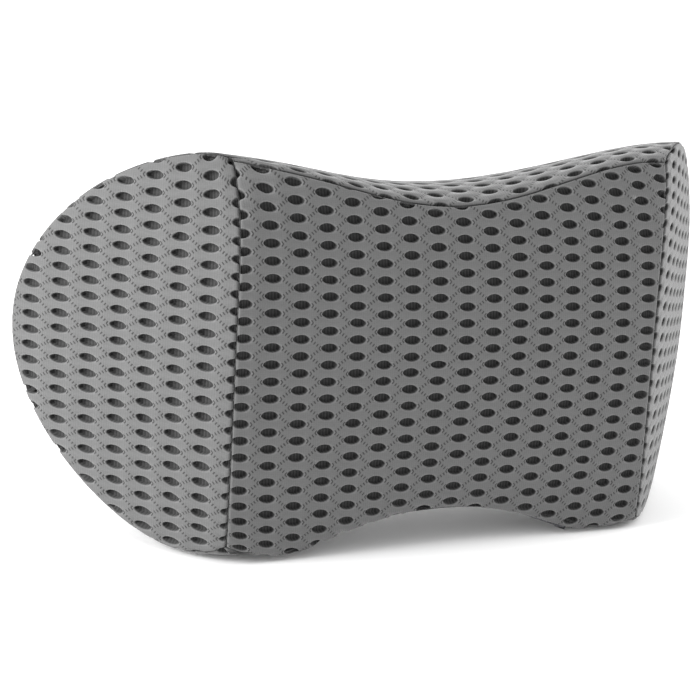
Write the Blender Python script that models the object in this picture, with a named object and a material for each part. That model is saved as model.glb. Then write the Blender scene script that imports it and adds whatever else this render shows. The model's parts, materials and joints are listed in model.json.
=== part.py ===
"""Lumbar support cushion: a waisted half-round foam core in a liner and a zipped spacer-mesh cover.

Frame: the flat seat face lies in the plane Y = 0 and looks along -Y, its centre is the origin, +X runs
along the cushion's width and +Z is up as the cushion sits against a seat back. The crown points along +Y.
"""

import math

import bmesh
import bpy
import numpy as np
from mathutils import Vector

# Driving dimensions, in metres and radians
HEIGHT = 0.180              # height of the flat face at its two ends
FACE_WIDTH = 0.211          # width of the flat face between its end seams
WAIST_DIP = 0.0186          # how far the top and the bottom edge come in at the middle
END_DEPTH = 0.0996          # flat face to crown at the ends
MIDDLE_DEPTH = 0.1053       # flat face to crown at the waist
FLARE = math.radians(36.55)  # each end panel leans outwards by this much from the YZ plane
TAPER = 0.252               # how much the half-round narrows towards its crown
DEPTH_POWER = 1.3           # above 1, the cover swells over its seams before it runs back to the crown
END_BULGE = 0.0156          # swelling of the half-round beside its seams, at the ends
WAIST_BULGE = 0.0166        # and at the waist
COVER = 0.004               # thickness of the spacer-mesh cover
LINER_OUTSIDE = 0.0050      # inset of the liner's outer face from the cover's outer face
LINER_INSIDE = 0.0057       # and of its inner face
FOAM_OUTSIDE = 0.0075       # inset of the foam's surface
SEAM_GAP = 0.0019           # each panel's edge stops this far short of the mitre of its seam
LINER_SEAM_GAP = 0.0007
THREAD_RADIUS = 0.0004
THREAD_INSET = 0.001        # depth of the seam thread below the skin
SLOT_FRONT = COVER          # the zipper's slot runs along the bottom edge between these two depths
SLOT_REAR = 0.014
ZIPPER_Y = (SLOT_FRONT + SLOT_REAR) / 2
ZIPPER_RADIUS = 0.198       # the closed zipper follows the waist on an arc of this radius
ZIPPER_TOP_Z = -0.0738      # height of the tape's middle plane at the waist
ZIPPER_CENTRE_Z = ZIPPER_TOP_Z - ZIPPER_RADIUS
CHAIN_HALF = 0.075          # half the length of the coil chain
TAPE_END_Z = -0.0915        # the tapes level out at this height beside the end seams
TAPE_THICKNESS = 0.0005
TAPE_WIDTH = 0.0027
ROW_GAP = 0.0016            # between the two tapes, and between the two coil rows
COIL_WIDTH = 0.0015
COIL_HEIGHT = 0.0015
COIL_CLEARANCE = 0.0003     # between the coil and its tape
STITCH_GAP = 0.0008         # from the tape's edge to the stitching that holds it
STITCH_RADIUS = 0.0003
SLIDER_LENGTH = 0.009
SLIDER_WIDTH = 0.007
SLIDER_TAIL = 0.005         # width at the end where the closed chain comes out
SLIDER_PLATE = 0.0011
SLIDER_REACH = 0.070        # the slider's middle stops this far each side of the cushion's middle
SLIDER_CLEARANCE = 0.0004
DIVIDER_WIDTH = 0.0009
DIVIDER_LENGTH = 0.0024
DIVIDER_BACK = 0.0018       # from the slider's wide end to the divider's middle
BRIDGE_SPAN = 0.0054
BRIDGE_WIDTH = 0.0012
BRIDGE_BAR = 0.0008
PIVOT_RADIUS = 0.0005
PULL_LENGTH = 0.020
PULL_WIDTH = 0.005
PULL_THICKNESS = 0.0010
WINDOW_PLAY = 0.0004        # between the pull's window and the bridge, on each side
WINDOW_PAST_BRIDGE = 0.0012
GRIP_HOLE_LENGTH = 0.0056
GRIP_HOLE_WIDTH = 0.0018
GRIP_HOLE_PLACE = 0.0145    # from the pivot to the middle of the grip hole
CUTTER_HALF = 0.002         # half the height of the cutters that open the pull
STOP_LENGTH = 0.0025
STOP_GAP = 0.0003
STOP_EDGE = 0.0002

CROWN_CELLS = 22            # grid cells round the half-round
WIDTH_CELLS = 22            # grid cells across the width
FACE_CELLS = 6              # grid cells up the flat face
LINER_WIDTH_CELLS = 16      # the liner and the foam are coarser
THREAD_POINTS = 34

TAN_FLARE = math.tan(FLARE)
COS_FLARE = math.cos(FLARE)


def clear_scene():
    for old in list(bpy.data.objects):
        bpy.data.objects.remove(old)


def make_material(name, colour, roughness, metallic=0.0):
    material = bpy.data.materials.new(name)
    material.use_nodes = True
    shader = material.node_tree.nodes["Principled BSDF"]
    shader.inputs["Base Color"].default_value = (*colour, 1.0)
    shader.inputs["Roughness"].default_value = roughness
    shader.inputs["Metallic"].default_value = metallic
    return material


def finish_mesh(name, mesh_builder, material, smooth=False):
    """Turns a bmesh into a named object with its normals outside."""
    bmesh.ops.recalc_face_normals(mesh_builder, faces=mesh_builder.faces)
    mesh = bpy.data.meshes.new(name)
    mesh_builder.to_mesh(mesh)
    mesh_builder.free()
    if smooth:
        mesh.shade_smooth()
        mesh.set_sharp_from_angle(angle=math.radians(40))
    mesh.materials.append(material)
    made = bpy.data.objects.new(name, mesh)
    bpy.context.scene.collection.objects.link(made)
    return made


# ---- the cushion's shape -------------------------------------------------------------------------------

def waist(s):
    """1 at the middle of the width and 0 at both ends, as a cosine squared."""
    return np.cos(np.pi * s / 2) ** 2


def half_height(s, inset):
    """Half the height of the flat face at s, which runs from -1 to 1 across the width."""
    return HEIGHT / 2 - WAIST_DIP * waist(s) - inset


def depth(s):
    return END_DEPTH + (MIDDLE_DEPTH - END_DEPTH) * (1 - s ** 2)


def half_round(s, angle, inset):
    """Y and Z of the half-round: angle 0 is its top edge on the flat face, 90 degrees its crown."""
    y = inset + (depth(s) - 2 * inset) * np.sin(angle) ** DEPTH_POWER
    narrowing = 1 - TAPER * np.sin(angle) ** 2
    bulge = END_BULGE + (WAIST_BULGE - END_BULGE) * waist(s)
    z = np.cos(angle) * narrowing * half_height(s, inset) + bulge * np.sin(2 * angle)
    return y, z


def across(s, y, end_inset):
    """X at s, on a width that grows with depth because the end panels flare."""
    return s * (FACE_WIDTH / 2 + y * TAN_FLARE - end_inset / COS_FLARE)


def angle_at_depth(s, y, inset):
    """The half-round's angle, counted from its edge, where it is y away from the flat face."""
    return np.arcsin(((y - inset) / (depth(s) - 2 * inset)) ** (1 / DEPTH_POWER))


def eased(count):
    """Steps from 0 to 1 that lie closer together at both ends."""
    u = np.linspace(0, 1, count + 1)
    return u - 0.11 * np.sin(2 * np.pi * u)


def crown_grid(inset, gap, rear_of_slot, cells, width_cells):
    """The half-round's points at one inset, from its top edge to its lower edge behind the zipper."""
    s = np.linspace(-1, 1, width_cells + 1)[:, None]
    first = angle_at_depth(s, inset + gap, inset)
    last = np.pi - angle_at_depth(s, rear_of_slot, inset)
    angle = first + (last - first) * eased(cells)[None, :]
    y, z = half_round(s, angle, inset)
    return np.stack([across(s, y, inset + gap), y, z], axis=-1)


def face_grid(inset, gap, bottom_gap, cells, width_cells):
    """The flat face's points at one inset; the top edge is mitred and the bottom edge is straight."""
    s = np.linspace(-1, 1, width_cells + 1)[:, None]
    v = np.linspace(0, 1, cells + 1)[None, :]
    low = -(half_height(s, 0) - bottom_gap)
    high = half_height(s, inset + gap)
    z = low + (high - low) * v
    x = across(s, inset, inset + gap) + 0 * z
    return np.stack([x, inset + 0 * z, z], axis=-1)


def end_ring(side, outline_inset, plane_inset, cells):
    """The half-moon outline of one end: the half-round's arc, closed by the flat face's edge."""
    s = np.array(float(side))
    arc = np.linspace(0, np.pi, cells + 1)
    y, z = half_round(s, arc, outline_inset)
    return np.stack([across(s, y, plane_inset), y, z], axis=-1)


# ---- mesh builders -------------------------------------------------------------------------------------

def slab(name, outer, inner, material):
    """A sheet of cloth: two grids of points, skinned on both sides and closed round the rim."""
    builder = bmesh.new()
    rows, columns = outer.shape[:2]
    skins = [[[builder.verts.new(p) for p in row] for row in grid] for grid in (outer, inner)]
    for skin in skins:
        for i in range(rows - 1):
            for j in range(columns - 1):
                builder.faces.new((skin[i][j], skin[i + 1][j], skin[i + 1][j + 1], skin[i][j + 1]))
    rim = [(i, 0) for i in range(rows)] + [(rows - 1, j) for j in range(1, columns)]
    rim += [(i, columns - 1) for i in range(rows - 2, -1, -1)] + [(0, j) for j in range(columns - 2, 0, -1)]
    for (i, j), (k, m) in zip(rim, rim[1:] + rim[:1]):
        builder.faces.new((skins[0][i][j], skins[0][k][m], skins[1][k][m], skins[1][i][j]))
    return finish_mesh(name, builder, material)


def loft(name, rings, material, smooth=False):
    """A solid skinned over a row of closed rings of points, with a flat cap at each end."""
    builder = bmesh.new()
    loops = [[builder.verts.new(p) for p in ring] for ring in rings]
    for low, high in zip(loops, loops[1:]):
        for i in range(len(low)):
            k = (i + 1) % len(low)
            builder.faces.new((low[i], low[k], high[k], high[i]))
    caps = [builder.faces.new(loops[0]), builder.faces.new(loops[-1])]
    bmesh.ops.triangulate(builder, faces=caps)
    return finish_mesh(name, builder, material, smooth)


def prism(name, outline, low, high, material, axis="Z"):
    """An outline extruded from low to high along Z, or an outline in X and Z extruded along Y."""
    builder = bmesh.new()
    if axis == "Z":
        corners = [(a, b, low) for a, b in outline]
        step = Vector((0, 0, high - low))
    else:
        corners = [(a, low, b) for a, b in outline]
        step = Vector((0, high - low, 0))
    base = builder.faces.new([builder.verts.new(c) for c in corners])
    extruded = bmesh.ops.extrude_face_region(builder, geom=[base])
    moved = [g for g in extruded["geom"] if isinstance(g, bmesh.types.BMVert)]
    bmesh.ops.translate(builder, verts=moved, vec=step)
    return finish_mesh(name, builder, material)


def union(target, helpers):
    """Welds helper solids to the target; the helpers stay out of the model."""
    for helper in helpers:
        helper.parent = target
        helper.hide_render = True
        helper.display_type = "WIRE"
        weld = target.modifiers.new(helper.name, "BOOLEAN")
        weld.operation = "UNION"
        weld.object = helper
    return target


def cut(target, helper):
    helper.parent = target
    helper.hide_render = True
    helper.display_type = "WIRE"
    hole = target.modifiers.new(helper.name, "BOOLEAN")
    hole.operation = "DIFFERENCE"
    hole.object = helper
    return target


def thread(name, points, radius, material, closed):
    """A run of sewing thread: a round tube through the points, with filled ends where it is open."""
    curve = bpy.data.curves.new(name, "CURVE")
    curve.dimensions = "3D"
    curve.bevel_depth = radius
    curve.bevel_resolution = 1
    curve.use_fill_caps = True
    spline = curve.splines.new("POLY")
    spline.points.add(len(points) - 1)
    for point, place in zip(spline.points, points):
        point.co = (*place, 1.0)
    spline.use_cyclic_u = closed
    curve.materials.append(material)
    made = bpy.data.objects.new(name, curve)
    bpy.context.scene.collection.objects.link(made)
    return made


def box_outline(half_x, half_y, centre_x=0.0, centre_y=0.0):
    return [(centre_x - half_x, centre_y - half_y), (centre_x + half_x, centre_y - half_y),
            (centre_x + half_x, centre_y + half_y), (centre_x - half_x, centre_y + half_y)]


# ---- foam, liner and cover -----------------------------------------------------------------------------

def make_foam():
    """The moulded memory-foam core, a single waisted half-round block."""
    foam = make_material("memory_foam", (0.85, 0.83, 0.76), 0.9)
    rings = []
    for s in np.linspace(-1, 1, LINER_WIDTH_CELLS + 1):
        arc = np.pi * eased(20)
        y, z = half_round(s, arc, FOAM_OUTSIDE)
        ring = [(across(s, a, FOAM_OUTSIDE), a, b) for a, b in zip(y, z)]
        top = ring[0][2]
        face_x = ring[0][0]
        ring += [(face_x, FOAM_OUTSIDE, top * (2 * k / 5 - 1)) for k in range(1, 5)]
        rings.append(ring)
    return loft("foam_core", rings, foam)


def make_liner():
    """The thin knitted liner under the cover: the same four panels, smaller."""
    cloth = make_material("liner_cloth", (0.80, 0.80, 0.79), 0.85)
    skins = [LINER_OUTSIDE, LINER_INSIDE]
    crown = [crown_grid(inset, LINER_SEAM_GAP, inset + LINER_SEAM_GAP, 18, LINER_WIDTH_CELLS)
             for inset in skins]
    slab("liner_crown_panel", *crown, cloth)
    bottom_gap = LINER_INSIDE + LINER_SEAM_GAP
    face = [face_grid(inset, LINER_SEAM_GAP, bottom_gap, 4, LINER_WIDTH_CELLS) for inset in skins]
    slab("liner_flat_panel", *face, cloth)
    for side, name in ((-1, "liner_left_end"), (1, "liner_right_end")):
        rings = [end_ring(side, inset + LINER_SEAM_GAP, inset, 20) for inset in skins]
        loft(name, rings, cloth)


def make_cover():
    """The four spacer-mesh panels: flat seat panel, crown panel and two half-moon ends."""
    mesh_cloth = make_material("spacer_mesh", (0.16, 0.16, 0.16), 0.8)
    skins = [0.0, COVER]
    crown = [crown_grid(inset, SEAM_GAP, SLOT_REAR, CROWN_CELLS, WIDTH_CELLS) for inset in skins]
    slab("crown_panel", *crown, mesh_cloth)
    face = [face_grid(inset, SEAM_GAP, THREAD_RADIUS, FACE_CELLS, WIDTH_CELLS) for inset in skins]
    slab("flat_panel", *face, mesh_cloth)
    for side, name in ((-1, "left_end_panel"), (1, "right_end_panel")):
        rings = [end_ring(side, inset + SEAM_GAP, inset, CROWN_CELLS) for inset in skins]
        loft(name, rings, mesh_cloth)


def make_seams():
    """The lockstitch threads in the three seams between the cover's panels."""
    yarn = make_material("seam_thread", (0.05, 0.05, 0.05), 0.7)
    s = np.linspace(-1, 1, THREAD_POINTS)
    margin = THREAD_INSET + SEAM_GAP
    x = across(s, THREAD_INSET, margin + COVER)
    top = np.stack([x, THREAD_INSET + 0 * s, half_height(s, THREAD_INSET)], axis=-1)
    thread("top_seam_thread", top, THREAD_RADIUS, yarn, closed=False)
    for side, name in ((-1, "left_seam_thread"), (1, "right_seam_thread")):
        arc = end_ring(side, THREAD_INSET, THREAD_INSET, THREAD_POINTS)
        thread(name, arc, THREAD_RADIUS, yarn, closed=True)


# ---- zipper --------------------------------------------------------------------------------------------

def zipper_path(count):
    """X, Z and upright tilt along the zipper: an arc at the waist that levels out towards the end seams."""
    reach = across(1.0, ZIPPER_Y, COVER + SEAM_GAP) - SEAM_GAP
    x = np.linspace(-reach, reach, count)
    far = np.abs(x)
    on_arc = ZIPPER_CENTRE_Z + np.sqrt(ZIPPER_RADIUS ** 2 - np.minimum(far, CHAIN_HALF) ** 2)
    start = ZIPPER_CENTRE_Z + math.sqrt(ZIPPER_RADIUS ** 2 - CHAIN_HALF ** 2)
    slope = -CHAIN_HALF / (start - ZIPPER_CENTRE_Z)
    run = reach - CHAIN_HALF
    t = np.clip((far - CHAIN_HALF) / run, 0, 1)
    levelling = ((2 * t ** 3 - 3 * t ** 2 + 1) * start + (t ** 3 - 2 * t ** 2 + t) * slope * run
                 + (3 * t ** 2 - 2 * t ** 3) * TAPE_END_Z)
    z = np.where(far <= CHAIN_HALF, on_arc, levelling)
    return x, z, np.gradient(z, x)


def strip(name, side, inner, outer, low, high, path, material):
    """A flat strip along the zipper: between two distances from its middle line and two heights."""
    x, z, slope = path
    length = np.sqrt(1 + slope ** 2)
    rings = []
    for px, pz, across_x, up_z in zip(x, z, -slope / length, 1 / length):
        ring = [(px + h * across_x, ZIPPER_Y + side * w, pz + h * up_z)
                for w, h in ((inner, low), (outer, low), (outer, high), (inner, high))]
        rings.append(ring)
    return loft(name, rings, material)


def arc_path(half_length, count):
    """X, Z and slope along the closed chain's arc."""
    turn = np.linspace(-1, 1, count) * math.asin(half_length / ZIPPER_RADIUS)
    x = ZIPPER_RADIUS * np.sin(turn)
    z = ZIPPER_CENTRE_Z + ZIPPER_RADIUS * np.cos(turn)
    return x, z, -np.tan(turn)


def make_zipper_chain():
    """Tapes, coil rows and the two lines of stitching that hold the tapes to the panels."""
    tape = make_material("zipper_tape", (0.03, 0.03, 0.03), 0.85)
    coil = make_material("zipper_coil", (0.04, 0.04, 0.04), 0.4)
    yarn = make_material("zipper_stitching", (0.05, 0.05, 0.05), 0.7)
    inner = ROW_GAP / 2
    coil_top = -TAPE_THICKNESS / 2 - COIL_CLEARANCE
    for side, name in ((-1, "front"), (1, "rear")):
        strip(f"zipper_{name}_tape", side, inner, inner + TAPE_WIDTH,
              -TAPE_THICKNESS / 2, TAPE_THICKNESS / 2, zipper_path(37), tape)
        strip(f"zipper_{name}_coil", side, inner, inner + COIL_WIDTH,
              coil_top - COIL_HEIGHT, coil_top, arc_path(CHAIN_HALF, 31), coil)
        x, z, _ = zipper_path(37)
        stitch_y = ZIPPER_Y + side * (inner + TAPE_WIDTH + STITCH_GAP)
        line = np.stack([x, stitch_y + 0 * x, z], axis=-1)
        thread(f"zipper_{name}_stitching", line, STITCH_RADIUS, yarn, closed=False)


def make_zipper_stops():
    """Two crimped top stops, one on each row, and one bottom stop across both rows."""
    metal = make_material("stop_metal", (0.35, 0.35, 0.36), 0.35, 1.0)
    half = STOP_LENGTH / 2
    middle = math.asin((CHAIN_HALF + STOP_GAP + half) / ZIPPER_RADIUS)
    top = ZIPPER_RADIUS - TAPE_THICKNESS / 2 - COIL_CLEARANCE
    inner = ROW_GAP / 2
    places = (("zipper_front_top_stop", 1, -inner - COIL_WIDTH / 2, COIL_WIDTH / 2),
              ("zipper_rear_top_stop", 1, inner + COIL_WIDTH / 2, COIL_WIDTH / 2),
              ("zipper_bottom_stop", -1, 0.0, inner + COIL_WIDTH))
    for name, side, offset, half_width in places:
        stop = prism(name, box_outline(half, half_width, 0, offset), top - COIL_HEIGHT, top, metal)
        stop.location = (0, ZIPPER_Y, ZIPPER_CENTRE_Z)
        stop.rotation_euler = (0, side * middle, 0)
        edges = stop.modifiers.new("worn_edges", "BEVEL")
        edges.width = STOP_EDGE
        edges.segments = 1


def make_slider():
    """The die-cast slider: two plates, side flanges, a divider between the rows and the pull's bridge."""
    metal = make_material("slider_metal", (0.30, 0.30, 0.31), 0.35, 1.0)
    coil_low = ZIPPER_RADIUS - TAPE_THICKNESS / 2 - COIL_CLEARANCE - COIL_HEIGHT
    outer_high = coil_low - SLIDER_CLEARANCE
    outer_low = outer_high - SLIDER_PLATE
    inner_low = ZIPPER_RADIUS + TAPE_THICKNESS / 2 + SLIDER_CLEARANCE
    inner_high = inner_low + SLIDER_PLATE
    half = SLIDER_LENGTH / 2
    wide = SLIDER_WIDTH / 2
    narrow = SLIDER_TAIL / 2
    shield = [(half, -wide), (half, wide), (0, wide), (-half, narrow), (-half, -narrow), (0, -wide)]
    slider = prism("zipper_slider", shield, outer_low, outer_high, metal)
    back = prism("slider_back_plate", shield, inner_low, inner_high, metal)
    overlap = SLIDER_PLATE / 2
    divider = prism("slider_divider", box_outline(DIVIDER_LENGTH / 2, DIVIDER_WIDTH / 2, half - DIVIDER_BACK),
                    outer_high - overlap, inner_low + overlap, metal)
    flange_high = ZIPPER_RADIUS - TAPE_THICKNESS / 2 - SLIDER_CLEARANCE
    flange_inner = ROW_GAP / 2 + COIL_WIDTH + SLIDER_CLEARANCE
    flanges = []
    for side in (-1, 1):
        middle = side * (flange_inner + wide) / 2
        outline = box_outline(half / 2, (wide - flange_inner) / 2, half / 2, middle)
        flanges.append(prism(f"slider_flange_{side + 2}", outline, outer_high - overlap, flange_high, metal))
    bridge_high = outer_low + overlap
    bar_high = outer_low - 2 * PIVOT_RADIUS - 2 * COIL_CLEARANCE
    bar_low = bar_high - BRIDGE_BAR
    end = BRIDGE_SPAN / 2
    leg = end - BRIDGE_BAR
    arch = [(-end, bridge_high), (-end, bar_low), (end, bar_low), (end, bridge_high),
            (leg, bridge_high), (leg, bar_high), (-leg, bar_high), (-leg, bridge_high)]
    bridge = prism("slider_bridge", arch, -BRIDGE_WIDTH / 2, BRIDGE_WIDTH / 2, metal, axis="Y")
    union(slider, [back, divider, *flanges, bridge])
    slider.location = (0, ZIPPER_Y, ZIPPER_CENTRE_Z)
    slider.rotation_euler = (0, math.asin(SLIDER_REACH / ZIPPER_RADIUS), 0)
    pivot_z = outer_low - COIL_CLEARANCE - PIVOT_RADIUS
    return slider, pivot_z


def make_pull(slider, pivot_z):
    """The pull tab: a stamped plate whose end bar is caught under the slider's bridge."""
    metal = make_material("pull_metal", (0.30, 0.30, 0.31), 0.35, 1.0)
    half = PULL_WIDTH / 2
    tip = [(-PULL_LENGTH + half * (1 - math.sin(t)), -half * math.cos(t)) for t in np.linspace(0, math.pi, 9)]
    outline = [(PIVOT_RADIUS, -half), (PIVOT_RADIUS, half)] + tip[::-1]
    pull = prism("zipper_pull", outline, -PULL_THICKNESS / 2, PULL_THICKNESS / 2, metal)
    window_length = BRIDGE_SPAN / 2 + WINDOW_PAST_BRIDGE - PIVOT_RADIUS
    window_middle = -PIVOT_RADIUS - window_length / 2
    window_outline = box_outline(window_length / 2, BRIDGE_WIDTH / 2 + WINDOW_PLAY, window_middle)
    grip_outline = box_outline(GRIP_HOLE_LENGTH / 2, GRIP_HOLE_WIDTH / 2, -GRIP_HOLE_PLACE)
    window = prism("pull_window", window_outline, -CUTTER_HALF, CUTTER_HALF, metal)
    grip = prism("pull_hole", grip_outline, -CUTTER_HALF, CUTTER_HALF, metal)
    cut(pull, window)
    cut(pull, grip)
    pull.parent = slider
    pull.location = (0, 0, pivot_z)
    return pull


clear_scene()
make_foam()
make_liner()
make_cover()
make_seams()
make_zipper_chain()
make_zipper_stops()
make_pull(*make_slider())
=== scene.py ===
"""Lumbar support cushion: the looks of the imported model, built from the inside out.

Metres, +Z up. The flat seat face looks along -Y and the crown points along +Y.
"""

import json
import math

import bpy
import numpy as np
from mathutils import Matrix, Vector


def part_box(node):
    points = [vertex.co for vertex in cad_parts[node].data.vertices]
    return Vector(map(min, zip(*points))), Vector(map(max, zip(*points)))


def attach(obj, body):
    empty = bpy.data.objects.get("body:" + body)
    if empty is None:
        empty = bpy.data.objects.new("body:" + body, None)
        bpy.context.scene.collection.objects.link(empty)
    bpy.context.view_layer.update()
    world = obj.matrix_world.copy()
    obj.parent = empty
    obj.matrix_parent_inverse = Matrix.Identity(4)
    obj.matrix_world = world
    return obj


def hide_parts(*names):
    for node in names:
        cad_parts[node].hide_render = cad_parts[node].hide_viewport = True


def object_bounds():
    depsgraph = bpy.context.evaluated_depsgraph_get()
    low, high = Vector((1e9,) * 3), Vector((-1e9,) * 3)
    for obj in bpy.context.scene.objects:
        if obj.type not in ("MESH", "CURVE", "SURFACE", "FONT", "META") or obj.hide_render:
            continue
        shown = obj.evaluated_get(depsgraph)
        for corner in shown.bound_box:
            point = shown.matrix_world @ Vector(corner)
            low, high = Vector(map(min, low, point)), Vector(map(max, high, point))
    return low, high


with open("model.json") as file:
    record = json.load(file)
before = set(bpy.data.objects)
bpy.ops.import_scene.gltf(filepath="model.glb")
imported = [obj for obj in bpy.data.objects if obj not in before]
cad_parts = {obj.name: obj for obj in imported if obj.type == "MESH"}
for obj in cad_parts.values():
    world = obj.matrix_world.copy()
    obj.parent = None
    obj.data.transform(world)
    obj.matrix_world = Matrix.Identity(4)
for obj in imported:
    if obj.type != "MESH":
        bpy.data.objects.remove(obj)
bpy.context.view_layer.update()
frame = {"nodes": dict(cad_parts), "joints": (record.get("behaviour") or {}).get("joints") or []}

# ---- camera --------------------------------------------------------------------------------------------
# A long lens a good metre away, a little above the cushion and to its left, held slightly tilted.

CAMERA_TURN = math.radians(-24.48)
CAMERA_HEIGHT = math.radians(16.18)
CAMERA_ROLL = math.radians(3.56)
CAMERA_AWAY = 1.20
CAMERA_AIM = Vector((-0.03175, 0.018, 0.0))
CAMERA_PAN = 0.01033

lens = bpy.data.cameras.new("camera")
lens.sensor_width = 36
lens.lens = 135.08
camera = bpy.data.objects.new("camera", lens)
bpy.context.scene.collection.objects.link(camera)
bpy.context.scene.camera = camera
back = Vector((math.sin(CAMERA_TURN) * math.cos(CAMERA_HEIGHT),
               -math.cos(CAMERA_TURN) * math.cos(CAMERA_HEIGHT), math.sin(CAMERA_HEIGHT)))
level = Vector((math.cos(CAMERA_TURN), math.sin(CAMERA_TURN), 0))
upright = level.cross(-back)
rolled = level * math.cos(CAMERA_ROLL) + upright * math.sin(CAMERA_ROLL)
camera.location = CAMERA_AIM + back * CAMERA_AWAY
aim = (CAMERA_AIM - rolled * CAMERA_PAN - camera.location).normalized()
side = (rolled - aim * rolled.dot(aim)).normalized()
camera.matrix_world = Matrix.Translation(camera.location) @ Matrix(
    (side, side.cross(aim), -aim)).transposed().to_4x4()

bpy.context.scene.view_settings.view_transform = "Standard"

# ---- foam core and its liner ---------------------------------------------------------------------------
# One block of cream memory foam, moulded as a half-round that is narrower at its waist and flares towards
# the crown, inside a thin white knitted liner of four panels. The outer cover takes its shape from it.

FACE_WIDTH = 0.2117          # flat face between its end seams
FACE_HALF = 0.090            # half its height at the ends
WAIST_DIP = 0.019            # taken off that half in the middle
END_WIDTH = 0.1236           # end panel from the flat face to the crown, measured along its slope
FLARE = math.radians(36.5)   # the end panels lean outwards
TAPER = 0.246
DEPTH_POWER = 1.27
END_BULGE = 0.0148
WAIST_BULGE = 0.0165
CROWN_RISE = 0.057           # the crown stands this share higher at the waist than at the ends
FACE_DOME = 0.0018           # the foam pushes the flat face out by this much
PULL_POWER = 6
PULL_REACH = 0.6             # the pulls have died away at this share of the end panel's width
CORNER_PULLS = (             # how the cover's fit moves each corner: side, top or bottom, shift
    (-1, 1, (0.0, 0.0150, 0.0023)),
    (1, 1, (-0.0023, 0.0011, -0.0026)),
    (-1, -1, (0.0011, 0.0038, 0.0056)),
    (1, -1, (-0.0004, 0.0019, 0.0020)),
)
LINER_INSET = 0.0070
FOAM_INSET = 0.0090


def waist(s):
    """1 at the middle of the width and 0 at both ends: the square of a cosine."""
    return np.cos(np.pi * s / 2) ** 2


def half_height(s):
    """Half the flat face's height at s: the end's half, less the dip at the waist."""
    return FACE_HALF - WAIST_DIP * waist(s)


def pull_share(run):
    """How much of a corner's shift is left this far out from the flat face: the square of a ramp to 0."""
    return np.clip(1 - run / END_WIDTH / PULL_REACH, 0, 1) ** 2


def corner_pull(s, v, near):
    """Each corner's shift, weighted by high powers of s and v so that it dies away quickly, times near."""
    total = 0
    for side_sign, height_sign, shift in CORNER_PULLS:
        weight = (np.maximum(0, side_sign * s) ** PULL_POWER
                  * np.maximum(0, height_sign * v) ** PULL_POWER * near)
        total = total + weight[..., None] * np.array(shift)
    return total


def half_round(s, angle, inset=0.0):
    """Point of the half-round at s across the width; angle 0 is its top edge and 90 degrees its crown.

    Depth is a power of the sine. Height is the cosine, narrowed towards the crown, plus a bulge that goes
    with the sine of twice the angle. Width grows with depth by the flare. An inset draws every size in.
    """
    s, angle = np.broadcast_arrays(s, angle)
    sine = np.maximum(np.sin(angle), 0)
    run = END_WIDTH * sine ** DEPTH_POWER
    squeeze = 1 - 2 * inset / (END_WIDTH * math.cos(FLARE))
    x = s * (FACE_WIDTH / 2 + run * squeeze * math.sin(FLARE)
             + inset * math.tan(FLARE) - inset / math.cos(FLARE))
    y = inset + run * squeeze * math.cos(FLARE) * (1 + CROWN_RISE * (1 - s ** 2))
    bulge = END_BULGE + (WAIST_BULGE - END_BULGE) * waist(s) - inset / 2
    z = np.cos(angle) * (1 - TAPER * sine ** 2) * (half_height(s) - inset) + bulge * np.sin(2 * angle)
    return np.stack([x, y, z], axis=-1) + corner_pull(s, np.cos(angle), pull_share(run))


def flat_face(s, v, inset=0.0):
    """Point of the flat face at s across and v up it, both -1 to 1, with a shallow dome between its edges."""
    s, v = np.broadcast_arrays(s, v)
    x = s * (FACE_WIDTH / 2 + inset * math.tan(FLARE) - inset / math.cos(FLARE))
    y = inset - FACE_DOME * (1 - s ** 4) * (1 - v ** 4)
    z = v * (half_height(s) - inset)
    return np.stack([x, y, z], axis=-1) + corner_pull(s, v, np.ones(s.shape))


def surface(name, points, flip=False):
    """A grid of points, rows by columns, as a smooth mesh of quads."""
    rows, columns = points.shape[:2]
    index = np.arange(rows * columns).reshape(rows, columns)
    quads = np.stack([index[:-1, :-1], index[1:, :-1], index[1:, 1:], index[:-1, 1:]], axis=-1).reshape(-1, 4)
    mesh = bpy.data.meshes.new(name)
    mesh.from_pydata(points.reshape(-1, 3).tolist(), [], (quads[:, ::-1] if flip else quads).tolist())
    mesh.shade_smooth()
    piece = bpy.data.objects.new(name, mesh)
    bpy.context.scene.collection.objects.link(piece)
    return piece


def linear(code):
    """An sRGB hex colour as linear red, green, blue and alpha."""
    parts = [int(code[i:i + 2], 16) / 255 for i in (1, 3, 5)]
    return [c / 12.92 if c < 0.04045 else ((c + 0.055) / 1.055) ** 2.4 for c in parts] + [1.0]


def node(material, kind, settings=None, **links):
    """Adds a node, sets its properties and its sockets by name or number, and links what is a socket."""
    made = material.node_tree.nodes.new(kind)
    for key, value in (settings or {}).items():
        setattr(made, key, value)
    for key, value in links.items():
        name = key.replace("_", " ")
        socket = made.inputs[int(name[1:])] if name[:1] == "i" and name[1:].isdigit() else made.inputs[name]
        if isinstance(value, bpy.types.NodeSocket):
            material.node_tree.links.new(value, socket)
        else:
            socket.default_value = value
    return made


def new_material(name, colour, roughness, **sockets):
    """A Principled material with its even values set on the shader's own sockets."""
    material = bpy.data.materials.new(name)
    material.use_nodes = True
    shader = material.node_tree.nodes["Principled BSDF"]
    shader.inputs["Base Color"].default_value = linear(colour)
    shader.inputs["Roughness"].default_value = roughness
    for key, value in sockets.items():
        shader.inputs[key.replace("_", " ")].default_value = value
    return material, shader


def maths(material, operation, *values):
    """A Math node's result; the values are numbers or sockets."""
    links = {f"i{i}": value for i, value in enumerate(values)}
    return node(material, "ShaderNodeMath", {"operation": operation}, **links).outputs[0]


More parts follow.
